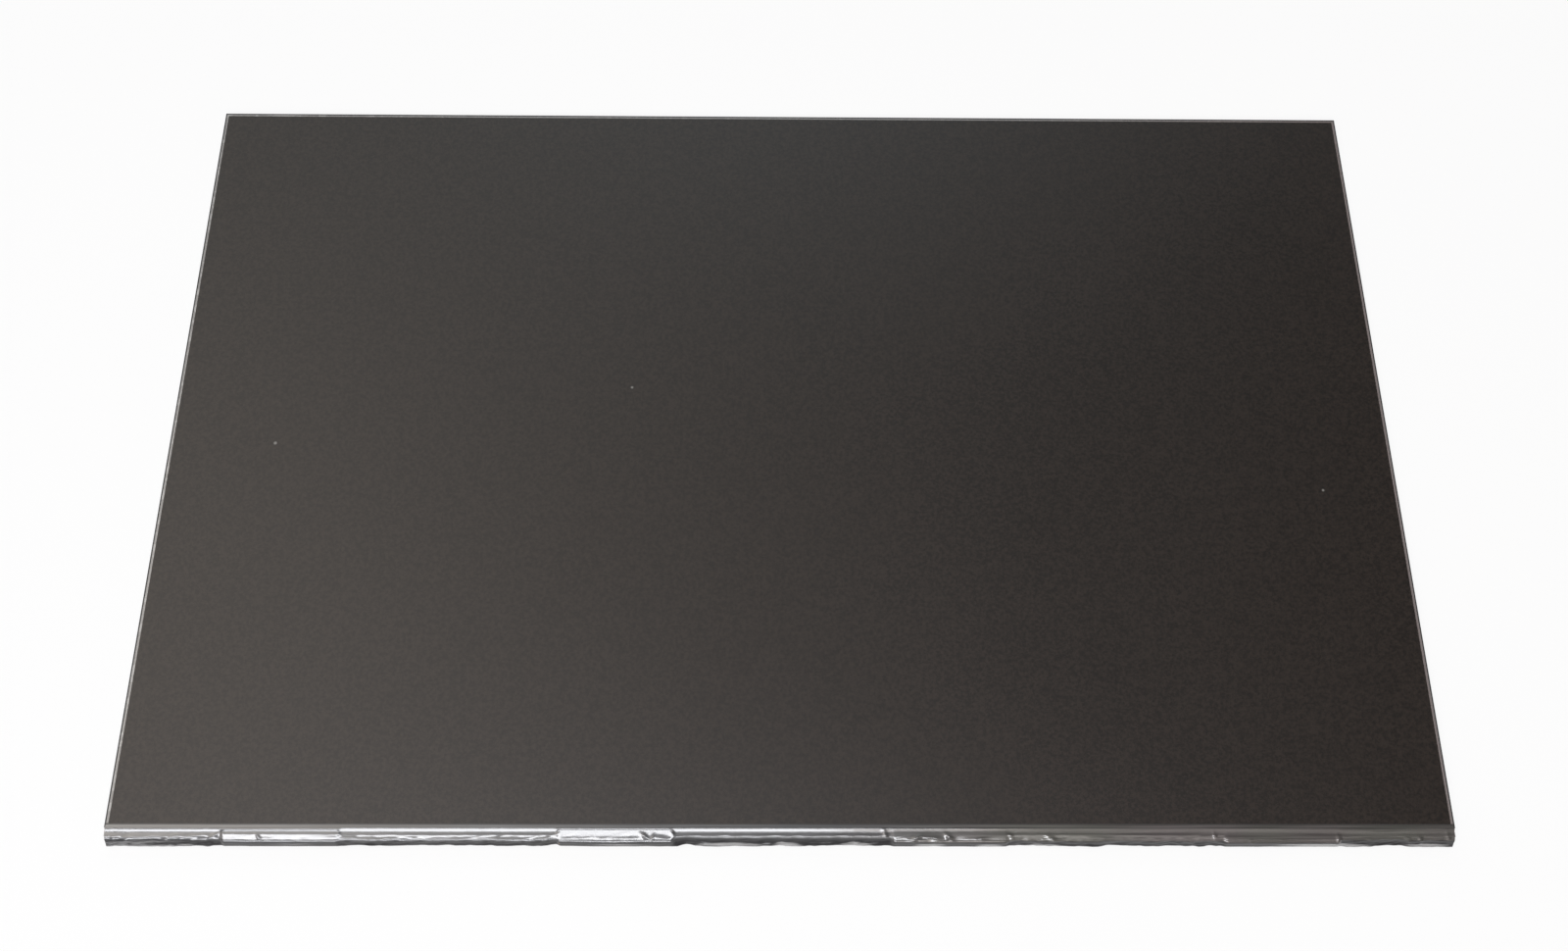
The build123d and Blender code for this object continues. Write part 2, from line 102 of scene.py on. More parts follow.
class NodeTree:
    """A material's or the world's nodes, with the patterns that this panel's finishes share."""

    def __init__(self, owner):
        owner.use_nodes = True
        self.owner = owner
        self.nodes = owner.node_tree.nodes
        self.links = owner.node_tree.links

    def node(self, kind, settings=None, sockets=None, output=0):
        made = self.nodes.new(kind)
        for name, value in (settings or {}).items():
            setattr(made, name, value)
        for name, value in (sockets or {}).items():
            self.feed(made.inputs[name], value)
        return Socket(self, made.outputs[output])

    def feed(self, socket, value):
        if isinstance(value, Socket):
            self.links.new(value.output, socket)
        elif socket.type == "RGBA" and len(value) == 3:
            socket.default_value = (*value, 1.0)
        else:
            socket.default_value = value

    def place(self):
        return self.node("ShaderNodeTexCoord", output="Object")

    def axes(self, vector):
        return [self.node("ShaderNodeSeparateXYZ", sockets={0: vector}, output=axis) for axis in "XYZ"]

    def stretched(self, vector, scale):
        return self.node("ShaderNodeMapping", sockets={"Vector": vector, "Scale": scale})

    def grain(self, vector, scale, detail=2.0):
        return self.node("ShaderNodeTexNoise", sockets={"Vector": vector, "Scale": scale, "Detail": detail})

    def band(self, value, start, end):
        """From 0 to 1, smoothly, as a value goes from start to end."""
        return self.node(
            "ShaderNodeMapRange",
            {"interpolation_type": "SMOOTHSTEP"},
            {"Value": value, "From Min": start, "From Max": end},
        )

    def blend(self, amount, first, second):
        return self.node(
            "ShaderNodeMix", {"data_type": "RGBA"}, {"Factor": amount, 6: first, 7: second}, output=2
        )

    def bump(self, height, depth, strength):
        return self.node(
            "ShaderNodeBump", sockets={"Height": height, "Distance": depth, "Strength": strength}
        )


class Finish(NodeTree):
    """A surface material built on one Principled shader."""

    def __init__(self, name):
        super().__init__(bpy.data.materials.new(name))
        self.shader = self.nodes["Principled BSDF"]

    def surface(self, **sockets):
        for name, value in sockets.items():
            self.feed(self.shader.inputs[name.replace("_", " ")], value)
        return self.owner


# Camera, at the place that the outline of the photograph gives
CAMERA_PLACE = Vector((-3.7, -147.0, 341.8)) * MM
CAMERA_PITCH = math.radians(67.73)
CAMERA_YAW = math.radians(1.666)
CAMERA_ROLL = math.radians(1.734)
CAMERA_LENS = 33.69
CAMERA_SENSOR = 36.0
CAMERA_CLIP = 0.01


def set_camera():
    lens = bpy.data.cameras.new("photo_camera")
    lens.lens = CAMERA_LENS
    lens.sensor_width = CAMERA_SENSOR
    lens.clip_start = CAMERA_CLIP
    camera = bpy.data.objects.new("photo_camera", lens)
    bpy.context.collection.objects.link(camera)
    turn = (
        Matrix.Rotation(-CAMERA_YAW, 4, "Z")
        @ Matrix.Rotation(math.pi / 2 - CAMERA_PITCH, 4, "X")
        @ Matrix.Rotation(CAMERA_ROLL, 4, "Z")
    )
    camera.matrix_world = Matrix.Translation(CAMERA_PLACE) @ turn
    bpy.context.scene.camera = camera


# Floor under the panel, which rests on its socket and its far edge
FLOOR_REST_NEAR = Vector((0.0, -83.1, 0.0)) * MM
FLOOR_REST_FAR = Vector((0.0, 98.7, 1.42)) * MM
FLOOR_REACH = 4.0
# Share of the floor's look, where it is seen or mirrored, that is plain white light
FLOOR_GLOW = 0.86


def lay_floor():
    paper = Finish("white_paper")
    paper_white = (0.8, 0.8, 0.8)
    paper.surface(Base_Color=paper_white, Roughness=0.9, Specular_IOR_Level=0.0)
    seen = paper.node("ShaderNodeLightPath", output="Is Camera Ray")
    glossy = paper.node("ShaderNodeLightPath", output="Is Glossy Ray")
    through = paper.node("ShaderNodeLightPath", output="Is Transmission Ray")
    glow = paper.node("ShaderNodeEmission", sockets={"Color": (1.0, 1.0, 1.0), "Strength": 1.0})
    lit = Socket(paper, paper.shader.outputs[0])
    share = (seen + glossy + through) * FLOOR_GLOW
    mixed = paper.node("ShaderNodeMixShader", sockets={0: share, 1: lit, 2: glow})
    paper.feed(paper.nodes["Material Output"].inputs["Surface"], mixed)
    floor_mesh = bmesh.new()
    bmesh.ops.create_grid(floor_mesh, x_segments=1, y_segments=1, size=FLOOR_REACH)
    rise = FLOOR_REST_FAR - FLOOR_REST_NEAR
    tilt = Matrix.Rotation(math.atan2(rise.z, rise.y), 4, "X")
    bmesh.ops.transform(floor_mesh, matrix=Matrix.Translation(FLOOR_REST_NEAR) @ tilt, verts=floor_mesh.verts)
    finished_object("floor", floor_mesh, paper.owner)


def finished_object(name, shape, material):
    mesh = bpy.data.meshes.new(name)
    shape.to_mesh(mesh)
    shape.free()
    mesh.materials.append(material)
    made = bpy.data.objects.new(name, mesh)
    bpy.context.collection.objects.link(made)
    return made


# Soft studio light: direction, narrowness and colour of each pale area of the room
LIGHT_PATCHES = [
    ((-0.42, 0.25, 0.87), 30.0, (3.10, 2.92, 2.66)),
    ((0.0, 0.82, 0.57), 30.0, (2.84, 3.24, 3.42)),
    ((-0.58, -0.06, 0.81), 14.0, (0.32, 0.25, 0.23)),
    ((-0.78, 0.12, 0.61), 8.0, (0.44, 0.345, 0.28)),
    ((-0.60, 0.60, 0.53), 14.0, (0.15, 0.27, 0.34)),
]
DIM_ROOM = (0.026, 0.024, 0.023)
# Softboxes: place, size, power and colour
COOL_WHITE = (0.965, 0.97, 1.0)
WARM_WHITE = (1.0, 0.93, 0.88)
SOFTBOXES = {
    "overhead_box": ((-0.24, -0.27, 1.12), (0.88, 0.145), 5.0, COOL_WHITE),
    "front_box": ((-0.325, -0.98, 0.82), (0.81, 0.36), 9.6, COOL_WHITE),
    "front_box_end": ((0.16, -0.98, 0.82), (0.16, 0.42), 0.7, WARM_WHITE),
    "overhead_fill": ((0.48, -0.27, 1.12), (0.56, 0.24), 0.45, WARM_WHITE),
    "front_fill": ((0.59, -0.98, 0.82), (0.70, 0.42), 0.45, WARM_WHITE),
}


def light_studio():
    world = bpy.data.worlds.new("studio")
    bpy.context.scene.world = world
    sky = NodeTree(world)
    direction = sky.node("ShaderNodeTexCoord", output="Generated")
    glow = DIM_ROOM
    for towards, narrowness, colour in LIGHT_PATCHES:
        facing = sky.node(
            "ShaderNodeVectorMath",
            {"operation": "DOT_PRODUCT"},
            {0: direction, 1: Vector(towards).normalized()},
            output="Value",
        )
        patch = sky.node("ShaderNodeMath", {"operation": "MAXIMUM"}, {0: facing, 1: 0.0}) ** narrowness
        lamp = sky.node("ShaderNodeVectorMath", {"operation": "SCALE"}, {0: colour, "Scale": patch})
        glow = sky.node("ShaderNodeVectorMath", {"operation": "ADD"}, {0: glow, 1: lamp})
    seen = sky.node("ShaderNodeLightPath", output="Is Camera Ray")
    shown = sky.blend(seen, glow, (1.0, 1.0, 1.0))
    sky.feed(sky.nodes["Background"].inputs["Color"], shown)
    for name, softbox in SOFTBOXES.items():
        area_lamp(name, *softbox)


def area_lamp(name, place, size, watts, colour):
    light = bpy.data.lights.new(name, "AREA")
    light.shape = "RECTANGLE"
    light.size, light.size_y = size
    light.energy = watts
    light.color = colour
    lamp = bpy.data.objects.new(name, light)
    bpy.context.collection.objects.link(lamp)
    tilt = math.atan2(place[1] - NEAR_EDGE, place[2])
    lamp.matrix_world = Matrix.Translation(place) @ Matrix.Rotation(-tilt, 4, "X")


# Finishes
def matte_face():
    """Anti-glare polariser: dark warm grey with a fine etched grain and a few specks of dust."""
    face = Finish("matte_polariser")
    place = face.place()
    etch = face.grain(place, 5200.0, detail=1.0)
    mottle = face.grain(place, 1300.0, detail=1.0)
    cloud = face.grain(place, 14.0, detail=3.0)
    dust_spots = [(-127.0, -0.2, 0.55), (-38.4, 15.6, 0.45), (134.7, -12.0, 0.45)]
    dust = 0.0
    for x, y, size in dust_spots:
        away = face.node(
            "ShaderNodeVectorMath",
            {"operation": "DISTANCE"},
            {0: place, 1: (x * MM, y * MM, FACE_TOP)},
            output="Value",
        )
        dust = face.band(away, size * MM, 0.4 * size * MM) + dust
    sparkle = face.band(0.5 * etch + 0.5 * mottle, 0.36, 0.64)
    shade = face.blend(sparkle, (0.0090, 0.0065, 0.0052), (0.0240, 0.0174, 0.0140))
    shade = face.blend(dust * 0.35, shade, (0.45, 0.44, 0.42))
    rough = 0.36 + 0.05 * etch + 0.04 * cloud
    return face.surface(
        Base_Color=shade, Roughness=rough, Specular_IOR_Level=0.5, Normal=face.bump(etch, 0.004 * MM, 0.35)
    )


def bare_glass():
    """Cell glass: pale grey where its ground border is bare, paler in broken patches towards the left end,
    darker and warmer towards the right end.
    """
    glass = Finish("cell_glass")
    place = glass.place()
    shell = glass.grain(place, 900.0, detail=3.0)
    drift = glass.grain(place, 22.0)
    broken_patches = glass.band(glass.grain(place, 420.0, detail=4.0), 0.50, 0.62)
    shade = glass.blend(shell, (0.16, 0.156, 0.152), (0.25, 0.245, 0.24))
    side = glass.axes(place)[0]
    # Darker and warmer towards the right end; paler in broken patches towards the left end
    shade = glass.blend(glass.band(side, 60.0 * MM, 150.0 * MM) * 0.7, shade, (0.19, 0.152, 0.145))
    shade = glass.blend(glass.band(side, -60.0 * MM, -150.0 * MM) * broken_patches, shade, (0.33, 0.326, 0.32))
    shade = glass.blend(drift * 0.3, shade, (0.22, 0.20, 0.20))
    return glass.surface(Base_Color=shade, Roughness=0.16 + 0.2 * shell, Coat_Weight=0.6, Coat_Roughness=0.08)


# Where the film's look changes: heights, and places in from the near edge
# Below the lower of these heights the film is painted near-black, as painted shade of the hollow under the
# fold
BONDED_HEIGHTS = (2.70 * MM, 3.08 * MM)
LAP_FEATHER = (NEAR_EDGE + 4.72 * MM, NEAR_EDGE + 4.22 * MM)
# Sides of a band just before the step that is painted darker: painted shade
SHADE_BAND_INNER_SIDE = (NEAR_EDGE + 4.20 * MM, NEAR_EDGE + 3.80 * MM)
SHADE_BAND_OUTER_SIDE = (NEAR_EDGE + 3.55 * MM, NEAR_EDGE + 3.75 * MM)


def glossy_film():
    """Edge film: thin and smoky, glossy where it lies on the glass; painted near-black below it as the shade
    of the hollow under the fold, with a painted shade band just before the step and painted pale highlights
    where one layer stands free.
    """
    film = Finish("edge_film")
    place = film.place()
    along, inward, height = film.axes(place)
    bonded = film.band(height, *BONDED_HEIGHTS)
    feathered = film.band(inward, *LAP_FEATHER)
    painted_shade_band = film.band(inward, *SHADE_BAND_INNER_SIDE) * film.band(inward, *SHADE_BAND_OUTER_SIDE)
    lip_highlight = film.node("ShaderNodeAttribute", {"attribute_name": "lip_highlight"}, output="Fac")
    haze = film.grain(film.stretched(place, (40.0, 1900.0, 1900.0)), 1.0, detail=3.0)
    streak = film.band(haze, 0.28, 0.72)
    drift = film.band(film.grain(film.stretched(place, (26.0, 0.0, 0.0)), 1.0), 0.40, 0.60)
    dark = film.blend(drift, (0.086, 0.076, 0.075), (0.080, 0.078, 0.070))
    light = film.blend(drift, (0.146, 0.130, 0.127), (0.137, 0.133, 0.120))
    warm = film.blend(streak, dark, light)
    cool = film.blend(streak, (0.076, 0.077, 0.080), (0.126, 0.127, 0.132))
    grey = film.blend(film.band(along, 0.0, 60.0 * MM), cool, warm)
    grey = film.blend(feathered, (0.045, 0.043, 0.042), grey)
    # Painted shade: a darker band across the lap just before the step.
    grey = film.blend(0.6 * painted_shade_band, grey, (0.040, 0.039, 0.038))
    gloss = bonded * feathered
    # Painted shade: below the bonded heights the film is painted near-black for the hollow under the fold.
    shade = film.blend(bonded, (0.027, 0.0265, 0.028), grey)
    # Painted highlight: the lower lip is painted pale where one layer stands free, as a reflection of the
    # floor.
    pale = film.band(lip_highlight + 2.0 * haze, 1.35, 2.05)
    shade = film.blend(pale, shade, (0.34, 0.34, 0.34))
    return film.surface(
        Base_Color=shade,
        Metallic=0.4 * gloss,
        Roughness=0.30 + 0.12 * streak,
        Coat_Weight=0.1 + 0.9 * gloss,
        Coat_Roughness=0.10,
        Coat_IOR=1.7,
        Specular_IOR_Level=0.35,
        Normal=film.bump(haze, 0.02 * MM, 0.5),
    )


def black_tape():
    """Thin black tape with a faint fibre and a scuffed, slightly greyer skin."""
    tape = Finish("black_tape")
    place = tape.place()
    fibre = tape.grain(place, 1800.0, detail=3.0)
    scuff = tape.grain(place, 60.0, detail=4.0)
    shade = tape.blend(fibre, (0.012, 0.012, 0.013), (0.030, 0.029, 0.029))
    shade = tape.blend(tape.band(scuff, 0.52, 0.75) * 0.35, shade, (0.075, 0.073, 0.072))
    rough = 0.38 + 0.2 * fibre
    return tape.surface(Base_Color=shade, Roughness=rough, Normal=tape.bump(fibre, 0.01 * MM, 0.4))


def rolled_aluminium():
    """Tray sheet: rolling streaks along the width, soft handling marks and a few hair scratches."""
    metal = Finish("rolled_aluminium")
    place = metal.place()
    streak = metal.grain(metal.stretched(place, (9.0, 1400.0, 1400.0)), 1.0, detail=4.0)
    blotch = metal.grain(place, 26.0, detail=4.0)
    scratch_line = metal.node(
        "ShaderNodeMapping",
        sockets={"Vector": place, "Rotation": (0.0, 0.0, 0.6), "Scale": (14.0, 2600.0, 14.0)},
    )
    scratch = metal.band(metal.grain(scratch_line, 1.0, detail=1.0), 0.74, 0.80)
    shade = metal.blend(streak, (0.56, 0.565, 0.57), (0.70, 0.705, 0.71))
    shade = metal.blend(metal.band(blotch, 0.45, 0.8) * 0.35, shade, (0.50, 0.505, 0.52))
    shade = metal.blend(scratch * 0.5, shade, (0.86, 0.86, 0.86))
    rough = 0.30 + 0.14 * streak + 0.10 * blotch
    relief = metal.bump(streak - 0.6 * scratch, 0.006 * MM, 0.5)
    return metal.surface(Base_Color=shade, Metallic=1.0, Roughness=rough, Normal=relief)


def solder_mask():
    """Board: dark green mask over fine copper runs and vias, with a bare fibreglass edge."""
    board = Finish("solder_mask")
    place = board.place()
    along = board.node(
        "ShaderNodeTexWave",
        {"wave_type": "BANDS", "bands_direction": "Y"},
        {"Vector": place, "Scale": 620.0, "Distortion": 0.0},
    )
    across = board.node(
        "ShaderNodeTexWave",
        {"wave_type": "BANDS", "bands_direction": "X"},
        {"Vector": place, "Scale": 480.0, "Distortion": 0.0},
    )
    region = board.node(
        "ShaderNodeTexVoronoi", {"distance": "CHEBYCHEV"}, {"Vector": place, "Scale": 210.0}, output="Color"
    )
    pick = board.axes(region)
    runs_along = board.band(along, 0.55, 0.65) * board.band(pick[0], 0.40, 0.42)
    runs_across = board.band(across, 0.55, 0.65) * board.band(pick[1], 0.60, 0.62)
    copper = board.node("ShaderNodeMath", {"operation": "MAXIMUM"}, {0: runs_along, 1: runs_across})
    via_gap = board.node("ShaderNodeTexVoronoi", {}, {"Vector": place, "Scale": 520.0}, output="Distance")
    via = board.band(via_gap, 0.13, 0.10)
    shade = board.blend(copper, (0.010, 0.050, 0.028), (0.020, 0.092, 0.048))
    shade = board.blend(via, shade, (0.30, 0.36, 0.24))
    facing = board.axes(board.node("ShaderNodeNewGeometry", output="Normal"))[2]
    flat = board.node("ShaderNodeMath", {"operation": "ABSOLUTE"}, {0: facing})
    edge = board.band(flat, 0.6, 0.4)
    shade = board.blend(edge, shade, (0.30, 0.28, 0.14))
    lift = copper + via * 0.5
    return board.surface(
        Base_Color=shade,
        Roughness=0.24 + 0.35 * edge,
        Specular_IOR_Level=0.5,
        Normal=board.bump(lift, 0.02 * MM, 0.6),
    )


def amber_driver_film():
    """Driver film: amber polyimide with a comb of fine copper leads."""
    film = Finish("amber_driver_film")
    place = film.place()
    comb = film.node(
        "ShaderNodeTexWave",
        {"wave_type": "BANDS", "bands_direction": "X"},
        {"Vector": place, "Scale": 1100.0, "Distortion": 0.0},
    )
    mottle = film.grain(place, 300.0)
    lead = film.band(comb, 0.5, 0.65)
    shade = film.blend(mottle, (0.20, 0.085, 0.015), (0.28, 0.12, 0.022))
    shade = film.blend(lead, shade, (0.46, 0.24, 0.10))
    return film.surface(
        Base_Color=shade, Roughness=0.22, Metallic=0.6 * lead, Normal=film.bump(lead, 0.008 * MM, 0.5)
    )


def prism_sheet():
    """Optical film: milky, with the fine parallel ribs of a prism sheet."""
    prism = Finish("optical_sheet")
    place = prism.place()
    ribs = prism.node(
        "ShaderNodeTexWave",
        {"wave_type": "BANDS", "bands_direction": "Y"},
        {"Vector": place, "Scale": 1500.0, "Distortion": 0.0},
    )
    shade = prism.blend(ribs, (0.72, 0.74, 0.76), (0.82, 0.84, 0.86))
    return prism.surface(Base_Color=shade, Roughness=0.25, Normal=prism.bump(ribs, 0.01 * MM, 0.5))


def dotted_guide():
    """Light guide: clear acrylic with a screen of printed dots."""
    guide = Finish("light_guide")
    place = guide.place()
    dot_gap = guide.node("ShaderNodeTexVoronoi", {}, {"Vector": place, "Scale": 900.0}, output="Distance")
    dot = guide.band(dot_gap, 0.32, 0.26)
    shade = guide.blend(dot, (0.74, 0.79, 0.80), (0.88, 0.89, 0.89))
    return guide.surface(Base_Color=shade, Roughness=0.10 + 0.35 * dot)


def light_bar_emitters():
    """Emitters: white moulded bodies with a yellow phosphor window towards the guide."""
    emitter = Finish("led_body")
    depth = emitter.axes(emitter.place())[1]
    window_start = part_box("leds")[1][1] - 0.14 * MM
    window = emitter.band(depth, window_start, window_start + 0.01 * MM)
    speck = emitter.grain(emitter.place(), 2500.0)
    shade = emitter.blend(speck, (0.78, 0.78, 0.76), (0.88, 0.88, 0.86))
    shade = emitter.blend(window, shade, (0.85, 0.62, 0.08))
    return emitter.surface(Base_Color=shade, Roughness=0.35)


def grained(name, dark, light, scale, rough, metallic=0.0, depth=0.01):
    """A moulded, sintered or plated surface with a fine even grain."""
    plain = Finish(name)
    place = plain.place()
    speck = plain.grain(place, scale, detail=3.0)
    drift = plain.grain(place, scale * 0.06)
    tone = 0.7 * speck + 0.3 * drift
    return plain.surface(
        Base_Color=plain.blend(tone, dark, light),
        Roughness=rough + 0.15 * speck,
        Metallic=metallic,
        Normal=plain.bump(speck, depth * MM, 0.4),
    )


def drawn_steel():
    """Socket shell: stamped plated steel, drawn along its length."""
    steel = Finish("socket_steel")
    place = steel.place()
    draw = steel.grain(steel.stretched(place, (60.0, 6000.0, 6000.0)), 1.0, detail=3.0)
    shade = steel.blend(draw, (0.52, 0.52, 0.50), (0.68, 0.68, 0.66))
    return steel.surface(Base_Color=shade, Metallic=1.0, Roughness=0.22 + 0.16 * draw)


# Edge film, from its lap on the face, over the ledge and the folded tabs, to its flap underneath.
# Each route is a section's points: distance in from the near edge and height, in millimetres.
FILM_HALF = 153.0
FILM_THICKNESS = 0.05
LAP = [(4.95, 3.569), (4.60, 3.569), (3.90, 3.569), (3.66, 3.569)]
TAB_FALL = [(0.46, 2.70), (0.34, 2.00)]
LIP = [(0.05, 1.20), (0.08, 0.86)]
FLAP = [(0.85, 0.83), (2.55, 0.83), (2.85, 0.83), (5.40, 0.83), (8.00, 0.83), (8.40, 0.83)]
CORNER_ROUTE = LAP + [
    (3.47, 3.545), (3.22, 3.408), (2.97, 3.270), (2.82, 3.225), (2.68, 3.22), (2.35, 3.215),
    (1.95, 3.20), (1.60, 3.14), (1.28, 2.95), (1.00, 2.55), (0.80, 2.10), (0.50, 1.65),
] + LIP + FLAP
SHELF_ROUTE = LAP + [
    (3.57, 3.545), (3.32, 3.408), (3.07, 3.270), (2.92, 3.225), (2.60, 3.22), (2.22, 3.21),
    (1.86, 3.145), (1.50, 3.11), (1.14, 3.07), (0.82, 2.85), (0.62, 2.30), (0.42, 1.70),
] + LIP + FLAP
EARLY_ROUTE = LAP + [
    (3.57, 3.545), (3.32, 3.408), (3.07, 3.270), (2.92, 3.225), (2.68, 3.22), (2.38, 3.215),
    (2.05, 3.205), (1.78, 3.16), (1.55, 2.95), (1.30, 2.45), (1.05, 2.05), (0.70, 1.65),
] + LIP + FLAP
TAB_STEP_ROUTE = LAP + [
    (3.44, 3.565), (3.22, 3.464), (3.00, 3.358), (2.84, 3.352), (2.64, 3.352), (2.42, 3.348),
    (2.05, 3.295), (1.60, 3.238), (1.15, 3.18), (0.78, 3.06),
] + TAB_FALL + LIP + FLAP
TAB_BRIDGE_ROUTE = LAP + [
    (3.62, 3.565), (3.42, 3.467), (3.22, 3.437), (2.95, 3.402), (2.65, 3.363), (2.30, 3.317),
    (1.95, 3.272), (1.60, 3.236), (1.15, 3.18), (0.78, 3.06),
] + TAB_FALL + LIP + FLAP
TAB_LOW_ROUTE = LAP + [
    (3.60, 3.560), (3.385, 3.458), (3.17, 3.352), (3.02, 3.345), (2.72, 3.335), (2.38, 3.318),
    (2.00, 3.287), (1.60, 3.245), (1.15, 3.19), (0.78, 3.06),
] + TAB_FALL + LIP + FLAP
TAB_FLAT_ROUTE = LAP + [
    (3.57, 3.545), (3.33, 3.418), (3.09, 3.290), (2.92, 3.258), (2.68, 3.252), (2.35, 3.248),
    (1.95, 3.243), (1.55, 3.236), (1.12, 3.215), (0.76, 3.07),
] + TAB_FALL + LIP + FLAP
# Slack stretches between the middles of the tabs: where each ends, and its route
TAB_PITCH = 75.8
SLACK_STRETCHES = [
    (-1.5 * TAB_PITCH, CORNER_ROUTE), (-0.5 * TAB_PITCH, SHELF_ROUTE), (0.5 * TAB_PITCH, EARLY_ROUTE),
    (1.5 * TAB_PITCH, SHELF_ROUTE), (FILM_HALF, CORNER_ROUTE),
]
TAB_ROUTES = {1: TAB_STEP_ROUTE, 2: TAB_BRIDGE_ROUTE, 3: TAB_LOW_ROUTE, 4: TAB_FLAT_ROUTE}
# The film is drawn over a tab from just outside its sides, and turns from slack to taut over a soft distance
TAB_MARGIN = 0.3
TAB_SOFTNESS = 1.1
# Shares of a bite and of the crumple that a tab takes out, and the deepest dip where it carries the film
TAB_HOLD = 0.85
TAB_TAUTNESS = 0.8
TAB_CARRIES = 0.5
TAB_DIP = -0.01
# How strongly each point of a section takes the crumple, and follows a bite in the lower edge
CRUMPLE = [0.0] * 4 + [
    0.002, 0.004, 0.005, 0.006, 0.008, 0.012, 0.018, 0.028, 0.05, 0.07, 0.09, 0.10, 0.06, 0.02,
]
BITE = [0.0] * 10 + [0.1, 0.2, 0.4, 0.7, 0.9, 1.0, 1.0, 1.0]
# Ridges and kinks of the crumple: their paces along, aslant and down the film, and their level in the noise
RIDGE_PACES = (0.30, 0.7, 0.8)
RIDGE_LEVEL = 11.3
RIDGE_SHARPNESS = 3.0
KINK_PACES = (0.9, -0.8, 1.4)
KINK_LEVEL = 29.5
KINK_SHARE = 0.6
# The film is more crumpled from here to its left end
CORNER_CRUMPLE = -128.5
CORNER_LOOSENESS = 1.7
# Between these the lower edge waves in and out
WAVY_EDGE = (-128.0, 143.0)
WAVE_FADE = 8.0
# Waves of the lower edge: depth, pace along it, place in the noise and level
WAVES = [(0.35, 0.13, (2.2, 3.7), 0.25), (0.15, 0.4, (7.2, 5.1), 0.2)]
# The point of a section at its lower edge
LIP_POINT = 15.2
LIP_SOFTNESS = 0.6
# Bites in the lower edge: start, end and depth
BITES = [
    (-98.0, -56.0, 0.22), (-53.5, -44.0, 0.45), (-33.0, -29.0, 0.2), (-24.0, -20.0, 0.35),
    (2.0, 26.0, 0.25), (33.0, 36.5, 0.45), (53.0, 61.0, 0.28), (96.0, 99.0, 0.2), (121.0, 129.0, 0.15),
]
# Painted highlights on the lower edge, a pale reflection of the floor painted where it stands free: start,
# end, paleness and breadth in points of the section
PAINTED_LIP_HIGHLIGHTS = [
    (-162.0, -128.0, 0.62, 3.2), (-118.0, -104.0, 0.35, 2.0), (-46.0, -26.0, 0.8, 0.9),
    (-24.0, -1.5, 0.8, 0.9),
    (-3.0, 5.0, 1.0, 1.0), (12.0, 21.0, 1.0, 1.0), (29.0, 38.0, 1.0, 1.3), (43.0, 51.0, 0.9, 1.1),
    (54.0, 64.0, 0.7, 1.3), (108.0, 135.0, 1.0, 1.4), (141.0, 153.5, 0.9, 1.2),
]
# Puckers: place along the edge, distance down from the lap, half-length, half-width, slant and rise
PUCKERS = [
    (-143.0, 4.4, 2.6, 0.35, 22, 0.13), (-149.0, 4.2, 1.8, 0.40, -30, 0.10),
    (-134.4, 5.6, 2.4, 0.45, 5, -0.15), (-139.0, 3.6, 2.0, 0.35, -18, 0.08),
    (-128.6, 2.9, 1.7, 0.35, -32, 0.12), (-126.6, 2.0, 0.5, 0.25, 90, 0.05),
    (-118.4, 3.1, 0.9, 0.26, 52, 0.08), (-100.4, 2.1, 0.8, 0.30, 90, 0.10),
    (-94.0, 3.6, 6.0, 0.40, 3, 0.05), (-78.0, 3.9, 8.0, 0.35, -2, 0.04), (-60.5, 4.0, 4.6, 0.45, 6, 0.09),
    (-55.0, 4.5, 2.4, 0.40, -35, 0.10), (-51.0, 2.1, 0.7, 0.30, 90, 0.07), (-38.0, 4.4, 6.0, 0.35, 2, 0.05),
    (-31.2, 2.9, 0.9, 0.35, 40, 0.13), (-29.6, 3.4, 0.8, 0.35, -60, 0.10), (-27.5, 3.3, 1.6, 0.50, 10, 0.05),
    (-25.0, 2.3, 0.8, 0.30, 70, 0.08),
    (-18.0, 5.2, 3.5, 0.45, 4, 0.08), (-9.0, 4.0, 4.0, 0.40, -4, 0.06), (6.0, 4.8, 4.0, 0.45, 3, 0.07),
    (17.5, 4.9, 2.0, 0.45, -8, 0.10), (23.2, 2.4, 1.1, 0.40, 75, 0.15), (30.2, 3.2, 1.5, 0.50, -25, 0.20),
    (33.6, 3.5, 2.6, 0.90, 5, 0.20), (33.4, 3.8, 1.2, 0.45, 0, -0.16), (37.6, 2.9, 1.1, 0.45, 40, 0.20),
    (45.0, 3.4, 1.6, 0.35, -8, 0.06), (51.7, 2.8, 0.7, 0.40, 60, 0.12), (56.5, 4.6, 2.5, 0.45, -6, 0.09),
    (61.2, 3.5, 1.3, 0.50, 30, 0.20), (72.0, 3.2, 5.0, 0.40, 2, 0.04), (89.8, 4.7, 0.8, 0.42, 30, 0.15),
    (93.2, 4.7, 0.8, 0.42, 40, 0.15), (98.2, 2.6, 0.9, 0.42, 80, 0.11), (106.5, 4.2, 0.9, 0.35, 60, 0.07),
    (126.4, 3.4, 1.3, 0.42, 85, 0.15), (137.0, 1.6, 5.5, 0.25, 0, 0.05), (142.8, 4.0, 1.3, 0.50, 35, 0.20),
    (145.2, 3.6, 0.9, 0.42, 55, 0.17), (151.5, 3.0, 1.6, 0.45, 80, 0.11),
]
# A pucker is felt as far as this many times its half-length
PUCKER_REACH = 3.0
# Notch for the plug: its sides, and the point of the section where it starts
PLUG_NOTCH = (-89.65, -63.65)
NOTCH_POINT = 18.0
# Columns of the film's mesh: steps at a pucker and far from one, and how fast they grow between
CLOSE_STEP = 0.23
WIDE_STEP = 0.48
STEP_GROWTH = 0.05
# Rows of the film's mesh: the points of a section between which they are close, and the last point
CLOSE_ROWS = (3, 18)
ROWS_TO_A_POINT = 3
LAST_POINT = 22


